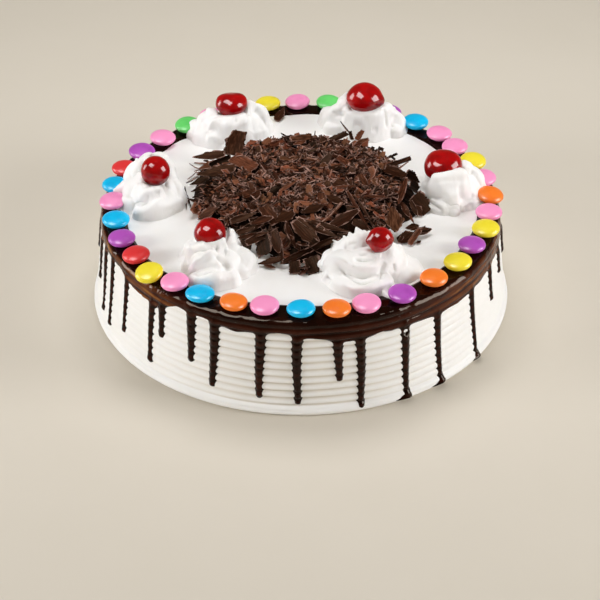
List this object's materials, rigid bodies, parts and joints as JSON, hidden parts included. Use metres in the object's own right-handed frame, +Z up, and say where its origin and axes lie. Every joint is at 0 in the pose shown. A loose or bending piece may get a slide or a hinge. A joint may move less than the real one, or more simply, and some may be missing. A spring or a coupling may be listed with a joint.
{
  "type": "black forest cake",
  "caption": "Round cream-coated cake with combed sides, a dark ganache drip, candy buttons round the rim, a heap of chocolate shavings and piped cream rosettes topped with cherries.",
  "frame": {"origin": "centre of the flat base, on the surface that the cake stands on", "axes": "+Z up; -Y is the front, the side that faces the viewer; +X to the viewer's right"},
  "size_m": [0.2106, 0.2106, 0.0771],
  "materials": {
    "whipped_cream": "soft matt dairy cream, faintly warm white, slight sheen",
    "ganache": "wet-looking near-black brown chocolate glaze, high gloss",
    "dark_chocolate": "shaved dark chocolate, dull broken faces with paler rubbed edges",
    "glace_cherry": "syrup-coated deep red, translucent, very high gloss",
    "candy_pink": "polished sugar shell",
    "candy_yellow": "polished sugar shell",
    "candy_blue": "polished sugar shell",
    "candy_purple": "polished sugar shell",
    "candy_orange": "polished sugar shell",
    "candy_red": "polished sugar shell",
    "candy_green": "polished sugar shell"
  },
  "bodies": {
    "root": {"cake_body": "whipped_cream", "ganache_drip": "ganache", "chocolate_shavings": "dark_chocolate", "candy_01": "candy_orange", "candy_02": "candy_pink", "candy_03": "candy_yellow", "candy_04": "candy_pink", "candy_05": "candy_pink", "candy_06": "candy_blue", "candy_07": "candy_purple", "candy_08": "candy_red", "candy_09": "candy_green", "candy_10": "candy_pink", "candy_11": "candy_yellow", "candy_12": "candy_orange", "candy_13": "candy_pink", "candy_14": "candy_green", "candy_15": "candy_pink", "candy_16": "candy_purple", "candy_17": "candy_red", "candy_18": "candy_blue", "candy_19": "candy_pink", "candy_20": "candy_blue", "candy_21": "candy_purple", "candy_22": "candy_red", "candy_23": "candy_yellow", "candy_24": "candy_pink", "candy_25": "candy_blue", "candy_26": "candy_orange", "candy_27": "candy_pink", "candy_28": "candy_blue", "candy_29": "candy_orange", "candy_30": "candy_pink", "candy_31": "candy_purple", "candy_32": "candy_orange", "candy_33": "candy_yellow", "candy_34": "candy_purple", "candy_35": "candy_yellow", "candy_36": "candy_pink", "cream_rosette_1": "whipped_cream", "cream_rosette_2": "whipped_cream", "cream_rosette_3": "whipped_cream", "cream_rosette_4": "whipped_cream", "cream_rosette_5": "whipped_cream", "cream_rosette_6": "whipped_cream", "cherry_1": "glace_cherry", "cherry_2": "glace_cherry", "cherry_3": "glace_cherry", "cherry_4": "glace_cherry", "cherry_5": "glace_cherry", "cherry_6": "glace_cherry"}
  },
  "joints": []
}
